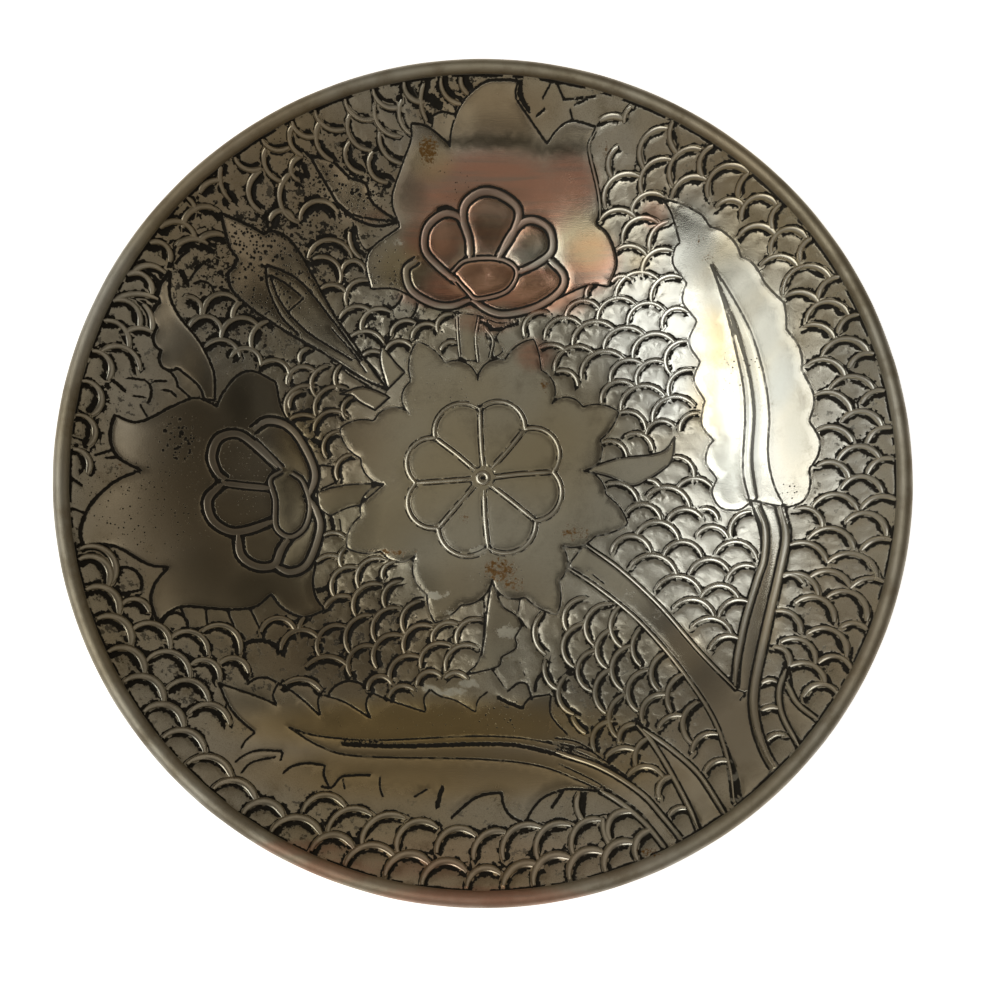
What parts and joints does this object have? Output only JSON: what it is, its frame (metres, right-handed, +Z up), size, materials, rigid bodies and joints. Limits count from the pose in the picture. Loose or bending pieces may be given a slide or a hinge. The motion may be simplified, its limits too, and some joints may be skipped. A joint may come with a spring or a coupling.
{
  "type": "bowl",
  "caption": "Shallow round bowl of silver-plated sheet, with a round bead over its lip and a low foot ring under its flat base.",
  "frame": {"origin": "middle of the flat face that the foot ring stands on", "axes": "+Z up along the axis that the bowl is turned about; +X and +Y level, towards the right and the top of the reference picture"},
  "size_m": [0.2, 0.2, 0.0402],
  "materials": {
    "silver_plate": "chased and polished silver plate over copper alloy, tarnished in its hollows",
    "solder": "dull grey, cast"
  },
  "bodies": {
    "root": {"bowl_body": "silver_plate", "rim_bead": "silver_plate", "rim_solder": "solder", "foot_ring": "silver_plate", "foot_solder": "solder"}
  },
  "joints": []
}
